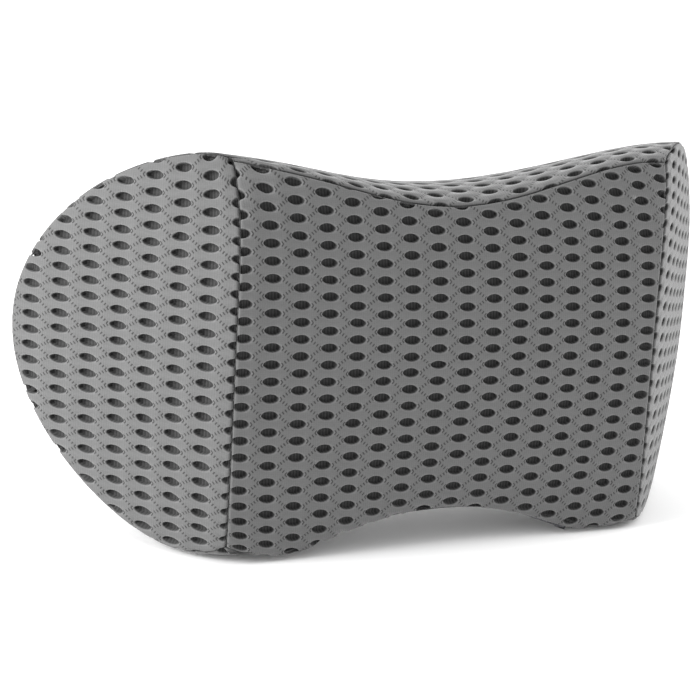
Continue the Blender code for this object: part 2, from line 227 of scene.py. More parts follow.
# Polyurethane memory foam: matt, cream, with fine open cells about 0.6 mm across.
FOAM_CELL = 0.0006
foam_material, foam_shader = new_material("memory_foam", "#e6ddc4", 0.95, IOR=1.45)
place = node(foam_material, "ShaderNodeTexCoord").outputs["Object"]
cells = node(foam_material, "ShaderNodeTexVoronoi", Vector=place, Scale=1 / FOAM_CELL)
foam_bump = node(foam_material, "ShaderNodeBump", Height=cells.outputs["Distance"], Strength=0.5,
                 Distance=0.0004)
foam_material.node_tree.links.new(foam_bump.outputs["Normal"], foam_shader.inputs["Normal"])

# The block is closed rings across the width, with each end's ring drawn in to its middle as a cap.
s_grid = np.linspace(-1, 1, 49)[:, None]
arc = np.linspace(0, np.pi, 61)[None, :]
foam_round = half_round(s_grid, arc, FOAM_INSET)
foam_face = flat_face(s_grid, np.linspace(-1, 1, 25)[None, 1:], FOAM_INSET)
ring = np.concatenate([foam_round, foam_face], axis=1)
middle = ring.mean(axis=1, keepdims=True)
steps = np.linspace(0, 1, 9)[:-1, None, None]
left_cap = middle[0] + (ring[0] - middle[0]) * steps
right_cap = middle[-1] + (ring[-1] - middle[-1]) * steps[::-1]
body = np.concatenate([left_cap[1:], ring, right_cap[:-1]], axis=0)
closed = np.concatenate([body, body[:, :1]], axis=1)
foam = surface("foam_core_block", closed, flip=True)
foam.data.materials.append(foam_material)
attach(foam, "cushion")
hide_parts("foam_core")

# Knitted polyester tricot, white and thin, with wales about 1.6 mm apart.
BANDS_PER_UNIT = 20 / (2 * math.pi)     # a wave texture's bands in one unit at scale 1
LINER_WALE = 0.00158
liner_material, liner_shader = new_material("knitted_polyester_liner", "#e4e3de", 0.85, Sheen_Weight=0.2)
place = node(liner_material, "ShaderNodeTexCoord").outputs["Object"]
wales = node(liner_material, "ShaderNodeTexWave", Vector=place, Scale=1 / LINER_WALE / BANDS_PER_UNIT,
             Distortion=1.5)
liner_bump = node(liner_material, "ShaderNodeBump", Height=wales.outputs["Fac"], Strength=0.4,
                  Distance=0.0002)
liner_material.node_tree.links.new(liner_bump.outputs["Normal"], liner_shader.inputs["Normal"])

LINER_CLOTH = 0.0007
LINER_SEAM_TUCK = 0.02       # the crown panel stops this angle short of the flat face's edges
s_grid = np.linspace(-1, 1, 41)[:, None]
crown_angles = np.linspace(LINER_SEAM_TUCK, np.pi - LINER_SEAM_TUCK, 61)[None, :]
end_arcs = half_round(np.array([[-1.0], [1.0]]), np.linspace(0, np.pi, 61)[None, :], LINER_INSET)
end_steps = np.linspace(0, 1, 13)[:, None, None]
left_moon, right_moon = [moon.mean(axis=0) + (moon - moon.mean(axis=0)) * end_steps for moon in end_arcs]
liner_panels = {
    "liner_crown_panel": half_round(s_grid, crown_angles, LINER_INSET),
    "liner_flat_panel": flat_face(s_grid, np.linspace(-1, 1, 25)[None, :], LINER_INSET)[:, ::-1],
    "liner_left_end": left_moon,
    "liner_right_end": right_moon[::-1],
}
for node_name, points in liner_panels.items():
    panel = surface(f"{node_name}_cloth", points, flip=True)
    thickness = panel.modifiers.new("cloth_thickness", "SOLIDIFY")
    thickness.thickness = LINER_CLOTH
    thickness.offset = -1
    panel.data.materials.append(liner_material)
    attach(panel, "cushion")
    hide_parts(node_name)

# ---- spacer-mesh cover ---------------------------------------------------------------------------------
# Four panels of 3D spacer mesh: a knitted polyester face with oval holes in a brick layout, held 3 mm off
# a dark backing by upright spacer yarns. The panels are sewn inside out, so each edge rolls into its seam.

HOLE_ACROSS = 0.0136         # column to column; alternate columns stand half a hole higher
HOLE_UP = 0.0079             # hole to hole up a column
HOLE_LONG = 0.61             # the opening's length, as a share of the column spacing
HOLE_TALL = 0.56             # and its height, as a share of the spacing up the column
HOLE_DEPTH = 0.0030
EDGE_ROLL = 0.0015           # radius of the rolled edge at a seam
EDGE_TUCK = 0.0024           # cloth past the seam line that is seen turning in
SEAM_HALF_GAP = 0.00025
TUCK_BLEND = 0.005           # within this of a seam, depth turns towards the cushion's middle
SLOT_FRONT = 0.0018          # the zipper lies between these two depths, under the bottom edge
SLOT_REAR = 0.014
END_SWELL = 0.0025
FACE_FOLD = 0.0020           # the flat panel turns under by this much before the zipper
FOLD_START = 0.009           # the turn starts this far above the face's bottom edge
FOLD_DROP = 0.0036           # and reaches this far below it
LIP_DROP = 0.0024            # with this much more beside the zipper's ends
LIP_MIDDLE = 0.68            # where that is, as a share of half the face's width
LIP_SPREAD = 0.17
SLOT_CLOSES = 0.80           # the slot narrows from here on, as a share of half the width
SLOT_CLOSING = 0.14          # and has closed after this much more
RING = 16                    # points round a hole


def hole_cell():
    """One hole and the cloth round it, in cell units of -0.5 to 0.5, with depth in metres.

    Rings of sixteen points lead from the cell's edge to the opening's lip, an ellipse drawn out at its
    two ends, and on down the wall of spacer yarns to the dark backing and its middle point.
    """
    turn = np.arange(RING) * 2 * np.pi / RING
    circle = np.stack([np.cos(turn), np.sin(turn)], axis=-1)
    square = np.clip(np.round(2.01 * np.sqrt(2) * circle), -2, 2) / 4
    tall = np.sin(turn) * np.abs(np.sin(turn)) ** 0.12
    oval = np.stack([HOLE_LONG / 2 * np.cos(turn), HOLE_TALL / 2 * tall], axis=-1)
    rings = [(square, 0.0), (oval * 1.10, 0.0), (oval * 1.0, 0.00035), (oval * 0.96, 0.0011),
             (oval * 0.93, HOLE_DEPTH)]
    points = np.concatenate([np.column_stack([ring, np.full(RING, depth)]) for ring, depth in rings]
                            + [[[0, 0, HOLE_DEPTH]]])
    first = np.arange(RING)
    second = (first + 1) % RING
    faces = []
    for k in range(len(rings) - 1):
        a, b = first + RING * k, second + RING * k
        c, d = b + RING, a + RING
        faces += [np.stack([a, b, c], axis=-1), np.stack([a, c, d], axis=-1)]
    last = RING * (len(rings) - 1)
    faces.append(np.stack([first + last, second + last, np.full(RING, last + RING)], axis=-1))
    return points, np.concatenate(faces)


def hole_lattice(width, height):
    """Cells in columns and rows over a width and height in cell units, odd columns half a cell up."""
    points, faces = hole_cell()
    columns = np.arange(-math.ceil(width / 2) - 1, math.ceil(width / 2) + 2)
    rows = np.arange(-math.ceil(height / 2) - 1, math.ceil(height / 2) + 2)
    column, row = [a.ravel() for a in np.meshgrid(columns, rows, indexing="ij")]
    middles = np.stack([column, row + 0.5 * (column % 2), 0 * row], axis=-1)
    every = (middles[:, None, :] + points[None]).reshape(-1, 3)
    triangles = (np.arange(len(middles))[:, None, None] * len(points) + faces[None]).reshape(-1, 3)
    return weld(every, triangles)


def weld(points, triangles):
    """Merges points that lie in one place, found by rounding them to a ten-thousandth of a cell."""
    key = np.round(points * 1e4).astype(np.int64)
    _, keep, place_of = np.unique(key, axis=0, return_index=True, return_inverse=True)
    return points[keep], place_of.ravel()[triangles]


def seam_distance(points, outline):
    """Distance to a closed outline, positive inside it, and the unit direction that leads inwards.

    The nearest point on each straight piece of the outline is found by projection and the nearest of
    those is kept. The outline runs anticlockwise, so inside is to the left of a piece, and at a corner
    to the left of the sum of its two pieces' directions.
    """
    run = np.roll(outline, -1, axis=0) - outline
    length = np.maximum(np.linalg.norm(run, axis=1), 1e-9)
    left = np.stack([-run[:, 1], run[:, 0]], axis=-1) / length[:, None]
    corner_left = left + np.roll(left, 1, axis=0)
    distance = np.empty(len(points))
    inwards = np.empty((len(points), 2))
    for part in np.array_split(np.arange(len(points)), max(1, len(points) // 20000)):
        away = points[part, None, :] - outline[None]
        along = np.clip((away * run[None]).sum(axis=-1) / length ** 2, 0, 1)
        away = away - along[..., None] * run[None]
        square = (away ** 2).sum(axis=-1)
        best = square.argmin(axis=1)
        pick = np.arange(len(part))
        near = away[pick, best]
        share = along[pick, best][:, None]
        facing = np.where(share <= 0, corner_left[best], left[best])
        facing = np.where(share >= 1, corner_left[(best + 1) % len(outline)], facing)
        sign = np.where((near * facing).sum(axis=1) >= 0, 1.0, -1.0)
        distance[part] = sign * np.sqrt(square[pick, best])
        size = np.maximum(np.linalg.norm(near, axis=1), 1e-9)[:, None]
        inwards[part] = np.where(size > 1e-6, near / size * sign[:, None], left[best])
    return distance, inwards


def cut_along(points, distance, triangles, level):
    """Cuts a triangle mesh along the line where distance equals level, keeping both sides.

    A crossed triangle has one corner alone on its side. Its two crossed edges get a new point each, by
    straight proportion, and the triangle becomes three.
    """
    above = distance[triangles] > level
    count = above.sum(axis=1)
    crossed = (count == 1) | (count == 2)
    lone_side = count == 1
    lone = np.where(lone_side[:, None], above, ~above)[crossed].argmax(axis=1)
    mixed = triangles[crossed]
    pick = np.arange(len(mixed))
    a, b, c = (mixed[pick, (lone + k) % 3] for k in range(3))
    pairs = np.sort(np.concatenate([np.stack([a, b], axis=-1), np.stack([a, c], axis=-1)]), axis=1)
    edges, which = np.unique(pairs, axis=0, return_inverse=True)
    which = which.ravel() + len(points)
    low, high = edges.T
    share = (level - distance[low]) / (distance[high] - distance[low])
    new_points = points[low] + (points[high] - points[low]) * share[:, None]
    ab, ac = which[:len(mixed)], which[len(mixed):]
    pieces = np.concatenate([np.stack([a, ab, ac], axis=-1), np.stack([ab, b, c], axis=-1),
                             np.stack([ab, c, ac], axis=-1)])
    return (np.concatenate([points, new_points]), np.concatenate([distance, np.full(len(edges), level)]),
            np.concatenate([triangles[~crossed], pieces]))


def used_only(every, triangles):
    """Drops the points that no triangle uses."""
    used, triangles = np.unique(triangles, return_inverse=True)
    return every[used], triangles.reshape(-1, 3)


MIDDLE_SHARE = (0.72, 0, 0.35)
MIDDLE_DEPTH = (0, 0.05, 0)


def to_middle(points):
    """Unit direction from each point to its middle: MIDDLE_SHARE of its own place, MIDDLE_DEPTH deep."""
    aim = points * MIDDLE_SHARE + MIDDLE_DEPTH - points
    return aim / np.linalg.norm(aim, axis=1)[:, None]


def cut_to_outline(outline, first, column_step, hole_step, askew):
    """The hole lattice in the cloth's own plane, cut to an outline with its tuck left on.

    Gives triangles and a row for each point: its place, its place in holes, and its depth. A hole lies at
    first, plus whole steps across the columns and up them, plus how far the cloth is pulled askew there,
    which is found by going round four times.
    """
    extent = np.linalg.norm(outline.max(axis=0) - outline.min(axis=0)) * 2.2
    points, triangles = hole_lattice(extent / column_step[0], extent / hole_step[1])
    even = np.array(first) + points[:, :1] * np.array(column_step) + points[:, 1:2] * np.array(hole_step)
    low = outline.min(axis=0) - EDGE_TUCK * 2
    high = outline.max(axis=0) + EDGE_TUCK * 2
    flat = even
    for _ in range(4 if askew else 0):
        flat = even + askew(np.clip(flat, low, high))
    centres = flat[triangles].mean(axis=1)
    triangles = triangles[((centres > low) & (centres < high)).all(axis=1)]
    every, triangles = used_only(np.column_stack([flat, points]), triangles)
    distance = seam_distance(every[:, :2], outline)[0]
    for level in (EDGE_ROLL, EDGE_ROLL / 2, 0.0, -EDGE_ROLL * 0.57, -EDGE_TUCK):
        every, distance, triangles = cut_along(every, distance, triangles, level)
    return used_only(every, triangles[distance[triangles].min(axis=1) >= -EDGE_TUCK - 1e-9])


RIM_BLEND = 0.002            # this close to a seam, the normal is taken
RIM_STEP = 0.0012            # this much further in, where the surface is even
SLOPE_STEP = 0.0005


def cover_panel(name, outline, placed, first, column_step, hole_step, askew=None):
    """A panel of spacer mesh cut to an outline in the cloth's own plane and carried to its place.

    The edge rolls over a quarter round of EDGE_ROLL and then goes straight down into the seam. Depth goes
    along the surface's inward normal, from differences of the placed surface over SLOPE_STEP, and near a
    seam it turns towards the cushion's middle.
    """
    every, triangles = cut_to_outline(outline, first, column_step, hole_step, askew)
    distance, inwards = seam_distance(every[:, :2], outline)
    past = np.maximum(EDGE_ROLL - distance, 0)
    bend = np.minimum(past / EDGE_ROLL, np.pi / 2)
    drop = EDGE_ROLL * (1 - np.cos(bend)) + np.maximum(past - EDGE_ROLL * np.pi / 2, 0)
    stays = np.where(past > 0, EDGE_ROLL * (1 - np.sin(bend)), distance) + SEAM_HALF_GAP
    flat = every[:, :2] + inwards * (stays - distance)[:, None]
    probe = flat + inwards * np.clip(1 - stays / RIM_BLEND, 0, 1)[:, None] * RIM_STEP
    run_a = placed(probe + [SLOPE_STEP, 0]) - placed(probe - [SLOPE_STEP, 0])
    run_b = placed(probe + [0, SLOPE_STEP]) - placed(probe - [0, SLOPE_STEP])
    normal = np.cross(run_a, run_b)
    normal /= np.maximum(np.linalg.norm(normal, axis=1), 1e-12)[:, None]
    surface_points = placed(flat)
    middle_way = to_middle(surface_points)
    if (normal * middle_way).sum(axis=1).mean() < 0:
        normal = -normal
    else:
        triangles = triangles[:, ::-1]
    near_seam = np.clip(1 - stays / TUCK_BLEND, 0, 1)[:, None]
    inward = normal * (1 - near_seam) + middle_way * near_seam
    inward /= np.linalg.norm(inward, axis=1)[:, None]
    final = surface_points + inward * (drop + every[:, 4])[:, None]
    mesh = bpy.data.meshes.new(name)
    mesh.from_pydata(final.tolist(), [], triangles.tolist())
    holes = mesh.uv_layers.new(name="holes")
    corners = np.empty(len(mesh.loops), np.int32)
    mesh.loops.foreach_get("vertex_index", corners)
    holes.data.foreach_set("uv", every[corners, 2:4].astype(np.float32).ravel())
    sunk = mesh.attributes.new("sunk", "FLOAT", "POINT")
    sunk.data.foreach_set("value", every[:, 4].astype(np.float32) / HOLE_DEPTH)
    # How far the cloth has turned into its seam; the material paints shade in the seam's groove from it.
    tucked = mesh.attributes.new("tucked", "FLOAT", "POINT")
    tucked.data.foreach_set("value", np.clip(past / (EDGE_ROLL * 1.57), 0, 1.5).astype(np.float32))
    mesh.shade_smooth()
    panel = bpy.data.objects.new(name, mesh)
    bpy.context.scene.collection.objects.link(panel)
    return panel


SLIT_STEP = 1.6              # millimetres from slit to slit
KNIT_RIB_ACROSS = 0.0011
KNIT_RIB_UP = 0.0009
SPACER_YARN_STEP = 0.0015


def spacer_mesh_material(name, face_colour, rim_colour, slit_colour, across, up):
    """Knitted polyester spacer mesh, worked out in the holes map, where one unit is one hole.

    Each point is folded to the distance from its nearest hole's middle. The lip is where the oval's
    radius is just over 1. The open slits lie on the line from a hole's end to its neighbour's end.
    """
    made, shader = new_material(name, face_colour, 0.82, Sheen_Weight=0.25, Sheen_Roughness=0.5, IOR=1.53)
    holes = node(made, "ShaderNodeUVMap", {"uv_map": "holes"}).outputs["UV"]
    split = node(made, "ShaderNodeSeparateXYZ", Vector=holes)
    column = maths(made, "ROUND", split.outputs["X"])
    odd = maths(made, "MULTIPLY", maths(made, "FLOORED_MODULO", column, 2.0), 0.5)
    own_x = maths(made, "SUBTRACT", split.outputs["X"], column)
    shifted = maths(made, "SUBTRACT", split.outputs["Y"], odd)
    own_y = maths(made, "SUBTRACT", shifted, maths(made, "ROUND", shifted))
    fold_x = maths(made, "ABSOLUTE", own_x)
    fold_y = maths(made, "ABSOLUTE", own_y)
    # Slits: millimetres along and off the line through the middle of the gap between two hole ends.
    half_across = across * 500
    quarter_up = up * 250
    end = half_across * HOLE_LONG
    slope = math.atan2(quarter_up, half_across - end)
    dx = maths(made, "MULTIPLY_ADD", fold_x, across * 1000, -half_across)
    dy = maths(made, "MULTIPLY_ADD", fold_y, up * 1000, -quarter_up)
    along = maths(made, "MULTIPLY_ADD", dy, math.sin(slope), maths(made, "MULTIPLY", dx, math.cos(slope)))
    off = maths(made, "MULTIPLY_ADD", dy, math.cos(slope), maths(made, "MULTIPLY", dx, -math.sin(slope)))
    wave = maths(made, "COSINE", maths(made, "MULTIPLY", maths(made, "ADD", along, SLIT_STEP / 2),
                                       2 * math.pi / SLIT_STEP))
    bars = node(made, "ShaderNodeMapRange", {"interpolation_type": "SMOOTHSTEP"}, Value=wave,
                From_Min=0.0, From_Max=0.6).outputs[0]
    row = node(made, "ShaderNodeMapRange", {"interpolation_type": "SMOOTHSTEP"},
               Value=maths(made, "ABSOLUTE", off), From_Min=0.95, From_Max=0.55).outputs[0]
    reach = node(made, "ShaderNodeMapRange", {"interpolation_type": "SMOOTHSTEP"}, Value=along,
                 From_Min=-3.5, From_Max=-2.9).outputs[0]
    slits = maths(made, "MULTIPLY", maths(made, "MULTIPLY", bars, row), reach)
    # The lip, from the oval's own radius.
    oval_x = maths(made, "DIVIDE", fold_x, HOLE_LONG / 2)
    oval_y = maths(made, "DIVIDE", fold_y, HOLE_TALL / 2)
    radius = maths(made, "SQRT", maths(made, "ADD", maths(made, "MULTIPLY", oval_x, oval_x),
                                       maths(made, "MULTIPLY", oval_y, oval_y)))
    lip = node(made, "ShaderNodeMapRange", {"interpolation_type": "SMOOTHSTEP"}, Value=radius,
               From_Min=1.32, From_Max=1.08).outputs[0]
    # Fine ribs of the knit, broken up by noise.
    ribs_x = maths(made, "SINE", maths(made, "MULTIPLY", split.outputs["X"],
                                       across / KNIT_RIB_ACROSS * 2 * math.pi))
    ribs_y = maths(made, "SINE", maths(made, "MULTIPLY", split.outputs["Y"], up / KNIT_RIB_UP * 2 * math.pi))
    grain = node(made, "ShaderNodeTexNoise", Vector=holes, Scale=across / KNIT_RIB_UP,
                 Detail=2.0).outputs["Fac"]
    patch = node(made, "ShaderNodeTexNoise", Vector=holes, Scale=0.35, Detail=1.0).outputs["Fac"]
    ribs = maths(made, "MULTIPLY_ADD", ribs_x, 0.035, maths(made, "MULTIPLY", ribs_y, 0.025))
    shade = maths(made, "ADD", maths(made, "MULTIPLY_ADD", grain, 0.22, 0.89), ribs)
    shade = maths(made, "ADD", shade, maths(made, "MULTIPLY_ADD", patch, 0.12, -0.06))
    cloth = node(made, "ShaderNodeMix", {"data_type": "RGBA"}, Factor=maths(made, "MULTIPLY", lip, 0.45),
                 i6=linear(face_colour), i7=linear(rim_colour)).outputs[2]
    cloth = node(made, "ShaderNodeMix", {"data_type": "RGBA"}, Factor=maths(made, "MULTIPLY", slits, 0.9),
                 i6=cloth, i7=linear(slit_colour)).outputs[2]
    cloth = node(made, "ShaderNodeVectorMath", {"operation": "SCALE"}, i0=cloth, Scale=shade).outputs[0]
    # Inside a hole: the dark backing seen between upright spacer yarns.
    sunk = node(made, "ShaderNodeAttribute", {"attribute_name": "sunk"}).outputs["Fac"]
    inside = node(made, "ShaderNodeMapRange", {"interpolation_type": "SMOOTHSTEP"}, Value=sunk,
                  From_Min=0.05, From_Max=0.35).outputs[0]
    wobble = node(made, "ShaderNodeTexNoise", Vector=holes, Scale=across / 0.0016, Detail=1.0).outputs["Fac"]
    yarn_at = maths(made, "MULTIPLY_ADD", wobble, 2.2, maths(made, "MULTIPLY", split.outputs["X"],
                                                            across / SPACER_YARN_STEP * 2 * math.pi))
    yarns = maths(made, "MULTIPLY_ADD", maths(made, "SINE", yarn_at), 0.5, 0.5)
    backing = node(made, "ShaderNodeMix", {"data_type": "RGBA"}, Factor=maths(made, "POWER", yarns, 1.5),
                   i6=linear("#181818"), i7=linear("#343434")).outputs[2]
    colour = node(made, "ShaderNodeMix", {"data_type": "RGBA"}, Factor=inside, i6=cloth,
                  i7=backing).outputs[2]
    # Painted shade: the cloth's colour is darkened as it turns down into a seam, standing in for the shadow
    # in the seam's groove.
    tucked = node(made, "ShaderNodeAttribute", {"attribute_name": "tucked"}).outputs["Fac"]
    painted_seam_shade = node(made, "ShaderNodeMapRange", {"interpolation_type": "SMOOTHSTEP"}, Value=tucked,
                  From_Min=0.45, From_Max=1.05, To_Min=1.0, To_Max=0.12).outputs[0]
    colour = node(made, "ShaderNodeVectorMath", {"operation": "SCALE"}, i0=colour, Scale=painted_seam_shade).outputs[0]
    made.node_tree.links.new(colour, shader.inputs["Base Color"])
    height = maths(made, "SUBTRACT", maths(made, "ADD", maths(made, "MULTIPLY", ribs_x, 0.15), grain),
                   maths(made, "MULTIPLY", slits, 2.0))
    bump = node(made, "ShaderNodeBump", Height=height, Strength=0.5, Distance=0.0003)
    made.node_tree.links.new(bump.outputs["Normal"], shader.inputs["Normal"])
    return made


# Knitted polyester yarn, mid grey, matt with a little sheen from its fine filaments.
cover_cloth = spacer_mesh_material("polyester_spacer_mesh", "#565656", "#6c6c6c", "#1a1a1a",
                                   HOLE_ACROSS, HOLE_UP)


# Flat panel: straight at its sides, waisted at top and bottom; its lower edge turns under to the zipper.
def flat_place(flat):
    """The flat face's dome, with a fold that grows as the square of the way past its start."""
    s = flat[:, 0] / (FACE_WIDTH / 2)
    half = half_height(np.clip(s, -1, 1))
    v = flat[:, 1] / half
    points = flat_face(s, np.clip(v, -1, 1))
    points[:, 2] += flat[:, 1] - np.clip(v, -1, 1) * half
    fold = np.clip((FOLD_START - half - flat[:, 1]) / (FOLD_START + FOLD_DROP), 0, 1) ** 2
    points[:, 1] += FACE_FOLD * fold * (1 - np.clip(np.abs(s), 0, 1) ** 6)
    return points


run = np.linspace(-1, 1, 61)
lip = LIP_DROP * np.exp(-((np.abs(run) - LIP_MIDDLE) / LIP_SPREAD) ** 2)
drop = FOLD_DROP * (1 - run ** 6) + lip
bottom = np.stack([run * FACE_WIDTH / 2, -half_height(run) - drop], axis=-1)
top = np.stack([run[::-1] * FACE_WIDTH / 2, half_height(run[::-1])], axis=-1)


COLUMN_BOW = 0.0065          # the columns of holes bow to the left by this much at both edges


def flat_askew(flat):
    """The columns bow as the square of the height, more towards the right and the top."""
    x, z = flat[:, 0] / (FACE_WIDTH / 2), flat[:, 1] / FACE_HALF
    return np.stack([-COLUMN_BOW * z ** 2 * (1 + 0.8 * x + 0.6 * z), 0 * z], axis=-1)


flat_panel = cover_panel("flat_panel_mesh", np.concatenate([bottom, top]), flat_place, first=(0.0063, 0.0003),
                         column_step=(HOLE_ACROSS, -0.0008), hole_step=(-0.0001, HOLE_UP), askew=flat_askew)

# Crown panel: wraps from the top seam over the crown to the zipper, wider where the ends flare.
arc = np.linspace(0, np.pi, 721)
ridge = half_round(0.5, arc)[:, 1:]
crown_run = np.concatenate([[0], np.cumsum(np.linalg.norm(np.diff(ridge, axis=0), axis=1))])


def crown_place(flat):
    """The half-round, with its angle read from the distance run round the middle of one half."""
    angle = np.interp(flat[:, 1], crown_run, arc)
    reach = FACE_WIDTH / 2 + END_WIDTH * np.sin(angle) ** DEPTH_POWER * math.sin(FLARE)
    return half_round(np.clip(flat[:, 0] / reach, -1, 1), angle)


up_crown = np.linspace(0, crown_run[-1], 121)
side_reach = FACE_WIDTH / 2 + (END_WIDTH * math.sin(FLARE)
                               * np.sin(np.interp(up_crown, crown_run, arc)) ** DEPTH_POWER)
right_side = np.stack([side_reach, up_crown], axis=-1)
left_side = np.stack([-side_reach, up_crown], axis=-1)[::-1]
# Its lower edge runs along the slot, then comes forward to the flat panel's edge at either end.
ease = np.clip((np.abs(run) - SLOT_CLOSES) / SLOT_CLOSING, 0, 1)
closing = 3 * ease ** 2 - 2 * ease ** 3
edge_depth = np.maximum(SLOT_REAR + (FACE_FOLD * (1 - run ** 6) - SLOT_REAR) * closing, 0)
edge_sine = (edge_depth / END_WIDTH / math.cos(FLARE)) ** (1 / DEPTH_POWER)
edge_up = np.interp(np.pi - np.arcsin(edge_sine), arc, crown_run)
edge_x = run * (FACE_WIDTH / 2 + END_WIDTH * math.sin(FLARE) * edge_sine ** DEPTH_POWER)
slot_side = np.stack([edge_x, edge_up], axis=-1)[::-1]
crown_outline = np.concatenate([right_side, slot_side[1:-1], left_side])
crown_panel = cover_panel("crown_panel_mesh", crown_outline, crown_place,
                          first=(0.003, 0.0035), column_step=(HOLE_ACROSS, 0.0), hole_step=(0.0, HOLE_UP))

# End panels: half-moons with a straight edge at the flat face, swelling out a little.
upper_arc = arc[:361]
end_run = END_WIDTH * np.sin(upper_arc) ** DEPTH_POWER
end_pull = corner_pull(np.ones(361), np.cos(upper_arc), pull_share(end_run))
end_high = half_round(1.0, upper_arc)[:, 2] - end_pull[:, 2]


def end_place(side):
    """Returns the function that carries the left or right half-moon to its leaning plane."""
    def placed(flat):
        """Run along the slope and height, plus a swell outwards that falls to none at the edges."""
        run = np.clip(flat[:, 0], 0, END_WIDTH)
        high = np.maximum(np.interp(run, end_run, end_high), 1e-4)
        level = np.interp(run, end_run, np.cos(upper_arc))
        v = np.clip(flat[:, 1] / high, -1, 1)
        swell = END_SWELL * (1 - (2 * run / END_WIDTH - 1) ** 4) * (1 - v ** 4)
        x = side * (FACE_WIDTH / 2 + flat[:, 0] * math.sin(FLARE) + swell * math.cos(FLARE))
        y = flat[:, 0] * math.cos(FLARE) - swell * math.sin(FLARE)
        pull = corner_pull(np.full(len(run), float(side)), v * level, pull_share(run))
        return np.stack([x, y, flat[:, 1]], axis=-1) + pull
    return placed


quarter = np.stack([end_run, end_high], axis=-1)[::6]
half_moon = np.concatenate([quarter * [1, -1], quarter[-2::-1]])


END_STRETCH = 0.008          # the columns open out by this much at the crown
ROW_GATHER = 0.018           # the rows close up along the half-moon's slope


def end_askew(flat):
    """Columns move out as the square of the run; rows close up by height times run (1 - run / 1.6)."""
    x, z = flat[:, 0] / END_WIDTH, flat[:, 1] / FACE_HALF
    return np.stack([END_STRETCH * x ** 2, -ROW_GATHER * x * z * (1 - x / 1.6)], axis=-1)


END_HOLE_ACROSS = 0.0151     # the end panels' cloth is stretched wider by the foam
left_end, right_end = [
    cover_panel(f"{name}_end_panel_mesh", half_moon, end_place(side), first=(0.0445, -0.0011),
                column_step=(END_HOLE_ACROSS, -0.0002), hole_step=(0.0, HOLE_UP), askew=end_askew)
    for side, name in ((-1, "left"), (1, "right"))]
for panel, node_name in ((flat_panel, "flat_panel"), (crown_panel, "crown_panel"),
                         (left_end, "left_end_panel"), (right_end, "right_end_panel")):
    panel.data.materials.append(cover_cloth)
    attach(panel, "cushion")
    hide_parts(node_name)

# ---- seam threads --------------------------------------------------------------------------------------
# Dark grey polyester thread, lockstitched at 2.8 mm along each seam. Between the two rolled edges only
# the tops of the stitches show, down in the groove.

STITCH = 0.0028
THREAD_RADIUS = 0.00045
THREAD_DEPTH = 0.0021
THREAD_SIDES = 6


def stitched_thread(name, path, closed, radius=THREAD_RADIUS):
    """A tube carried along a path, its radius swelling once in each stitch as a raised cosine.

    The frame at each point is the path's direction, a sideways direction square to it and to Y (or to Z,
    where the path runs along Y), and their cross product. Each ring's points are spread evenly round it.
    """
    length = np.concatenate([[0], np.cumsum(np.linalg.norm(np.diff(path, axis=0), axis=1))])
    count = int(length[-1] / STITCH) * 6
    at = np.linspace(0, length[-1], count + 1)
    line = np.stack([np.interp(at, length, path[:, k]) for k in range(3)], axis=1)
    ahead = np.gradient(line, axis=0)
    if closed:
        ahead[0] = ahead[-1] = line[1] - line[-2]
    ahead /= np.linalg.norm(ahead, axis=1)[:, None]
    sideways = np.cross(ahead, np.where(np.abs(ahead[:, 1:2]) > 0.8, [[0, 0, 1.0]], [[0, 1.0, 0]]))
    sideways /= np.linalg.norm(sideways, axis=1)[:, None]
    above = np.cross(ahead, sideways)
    swell = radius * (0.78 + 0.22 * np.cos(2 * np.pi * at / STITCH))
    if not closed:
        swell[[0, -1]] = radius * 0.02
    around = np.linspace(0, 2 * np.pi, THREAD_SIDES + 1)
    spokes = (sideways[:, None] * np.cos(around)[None, :, None]
              + above[:, None] * np.sin(around)[None, :, None])
    tube = line[:, None] + swell[:, None, None] * spokes
    rows, columns = tube.shape[:2]
    index = np.arange(rows * columns).reshape(rows, columns)
    index[:, -1] = index[:, 0]
    if closed:
        index[-1] = index[0]
    quads = np.stack([index[:-1, :-1], index[:-1, 1:], index[1:, 1:], index[1:, :-1]], axis=-1)
    used, quads = np.unique(quads, return_inverse=True)
    mesh = bpy.data.meshes.new(name)
    mesh.from_pydata(tube.reshape(-1, 3)[used].tolist(), [], quads.reshape(-1, 4).tolist())
    mesh.shade_smooth()
    thread = bpy.data.objects.new(name, mesh)
    bpy.context.scene.collection.objects.link(thread)
    return thread


# Twisted polyester yarn: plies that repeat every 2 mm along the thread, slightly glossy.
YARN_PLY = 0.00197
yarn_material, yarn_shader = new_material("polyester_thread", "#2b2b2b", 0.6, Sheen_Weight=0.3)
place = node(yarn_material, "ShaderNodeTexCoord").outputs["Object"]
plies = node(yarn_material, "ShaderNodeTexWave", {"bands_direction": "DIAGONAL"}, Vector=place,
             Scale=1 / YARN_PLY / (BANDS_PER_UNIT / 2))
yarn_bump = node(yarn_material, "ShaderNodeBump", Height=plies.outputs["Fac"], Strength=0.6, Distance=0.0001)
yarn_material.node_tree.links.new(yarn_bump.outputs["Normal"], yarn_shader.inputs["Normal"])

across_face = np.linspace(-0.985, 0.985, 121)
seam_paths = {"top_seam_thread": (half_round(across_face, 0.0), False)}
for side, node_name in ((-1.0, "left_seam_thread"), (1.0, "right_seam_thread")):
    moon_arc = half_round(side, np.linspace(0, np.pi, 181))
    moon_edge = flat_face(side, np.linspace(-1, 1, 41))
    seam_paths[node_name] = (np.concatenate([moon_arc, moon_edge[1:]]), True)
for node_name, (path, closed) in seam_paths.items():
    thread = stitched_thread(f"{node_name}_stitches", path + to_middle(path) * THREAD_DEPTH, closed)
    thread.data.materials.append(yarn_material)
    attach(thread, "cushion")
    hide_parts(node_name)

# ---- zipper --------------------------------------------------------------------------------------------
# A hidden nylon coil zipper under the bottom edge: two black woven tapes, each with a spiral of
# monofilament along its inner edge, sewn to the panels' turned edges with a line of thread.

